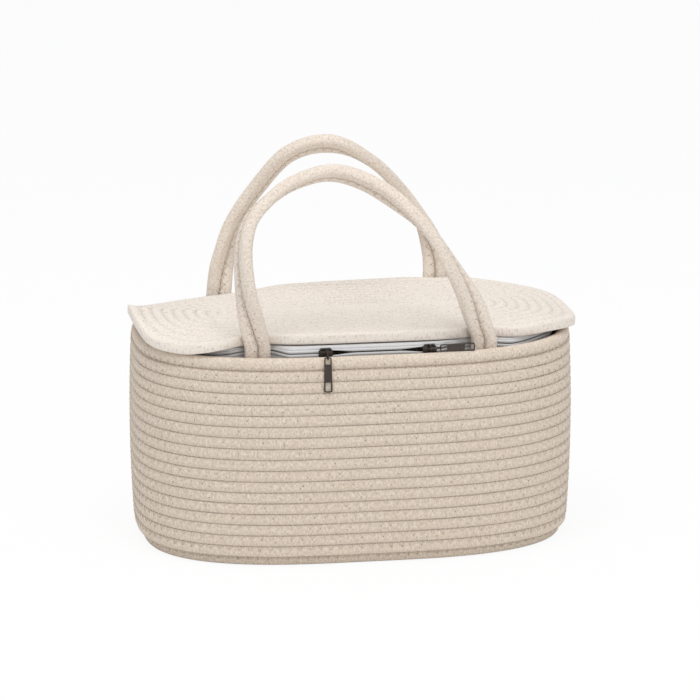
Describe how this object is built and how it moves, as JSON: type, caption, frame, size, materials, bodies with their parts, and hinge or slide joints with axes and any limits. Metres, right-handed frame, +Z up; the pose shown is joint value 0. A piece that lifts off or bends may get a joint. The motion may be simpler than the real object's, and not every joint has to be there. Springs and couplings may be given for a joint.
{
  "type": "rope storage bag with zip lid",
  "caption": "Oval storage bag coiled from cotton rope, with a coiled rope lid closed by a zip and upright rope handles that fold outwards.",
  "frame": {"origin": "middle of the bag's underside, on the surface it stands on", "axes": "+Z up, +X along the bag to the viewer's right, -Y towards the front, where the two sliders' pulls are"},
  "size_m": [0.3837, 0.2406, 0.3362],
  "materials": {
    "body_rope": "beige cotton rope, sewn in rows",
    "lid_rope": "cream cotton rope, sewn in rows",
    "handle_rope": "beige cotton rope",
    "cotton_tape": "white woven tape",
    "zip_teeth": "white coil",
    "gunmetal": "dark plated metal"
  },
  "bodies": {
    "bag": {"rope_wall": "body_rope", "rope_base": "body_rope", "hinge_strip": "cotton_tape", "lower_zip_tape": "cotton_tape", "lower_zip_teeth": "zip_teeth", "left_zip_stop": "cotton_tape", "right_zip_stop": "cotton_tape", "front_handle_left_outer_end": "handle_rope", "front_handle_left_inner_end": "handle_rope", "front_handle_right_outer_end": "handle_rope", "front_handle_right_inner_end": "handle_rope", "rear_handle_left_outer_end": "handle_rope", "rear_handle_left_inner_end": "handle_rope", "rear_handle_right_outer_end": "handle_rope", "rear_handle_right_inner_end": "handle_rope"},
    "lid": {"coiled_lid": "lid_rope", "upper_zip_tape": "cotton_tape", "upper_zip_teeth": "zip_teeth"},
    "front_handle": {"front_handle_outer_rope": "handle_rope", "front_handle_inner_rope": "handle_rope"},
    "rear_handle": {"rear_handle_outer_rope": "handle_rope", "rear_handle_inner_rope": "handle_rope"},
    "left_slider": {"left_slider": "gunmetal"},
    "right_slider": {"right_slider": "gunmetal"},
    "left_pull_link": {"left_pull_link": "gunmetal"},
    "right_pull_link": {"right_pull_link": "gunmetal"},
    "left_pull_tab": {"left_pull_tab": "gunmetal"},
    "right_pull_tab": {"right_pull_tab": "gunmetal"}
  },
  "joints": [
    {"name": "lid_hinge", "type": "hinge", "parent": "bag", "child": "lid", "pos_m": [0, 0.0937, 0.1905], "axis": [-1, 0, 0], "range_deg": [0, 105]},
    {"name": "rear_handle_fold", "type": "hinge", "parent": "bag", "child": "rear_handle", "pos_m": [-0.0055, 0.09314, 0.187], "axis": [-1, 0, 0], "range_deg": [0, 78]},
    {"name": "front_handle_fold", "type": "hinge", "parent": "bag", "child": "front_handle", "pos_m": [0.003, -0.09314, 0.187], "axis": [1, 0, 0], "range_deg": [0, 55]},
    {"name": "left_slider_run", "type": "slide", "parent": "bag", "child": "left_slider", "axis": [1, 0, 0], "range_m": [-0.022, 0.074]},
    {"name": "right_slider_run", "type": "slide", "parent": "bag", "child": "right_slider", "axis": [1, 0, 0], "range_m": [-0.074, 0]},
    {"name": "left_link_swing", "type": "hinge", "parent": "left_slider", "child": "left_pull_link", "pos_m": [-0.0378, -0.11054, 0.1845], "axis": [-1, 0, 0], "range_deg": [0, 90]},
    {"name": "left_tab_swing", "type": "hinge", "parent": "left_pull_link", "child": "left_pull_tab", "pos_m": [-0.0378, -0.11843, 0.18163], "axis": [-1, 0, 0], "range_deg": [0, 90]},
    {"name": "right_link_swing", "type": "hinge", "parent": "right_slider", "child": "right_pull_link", "pos_m": [0.0506, -0.11054, 0.1843], "axis": [0, 0, -1], "range_deg": [0, 100]},
    {"name": "right_tab_swing", "type": "hinge", "parent": "right_pull_link", "child": "right_pull_tab", "pos_m": [0.059, -0.11054, 0.1843], "axis": [0, 0, -1], "range_deg": [0, 60]}
  ],
  "couplings": [
    {"joint": "rear_handle_fold", "follows": "lid_hinge", "ratio": 0.74}
  ]
}
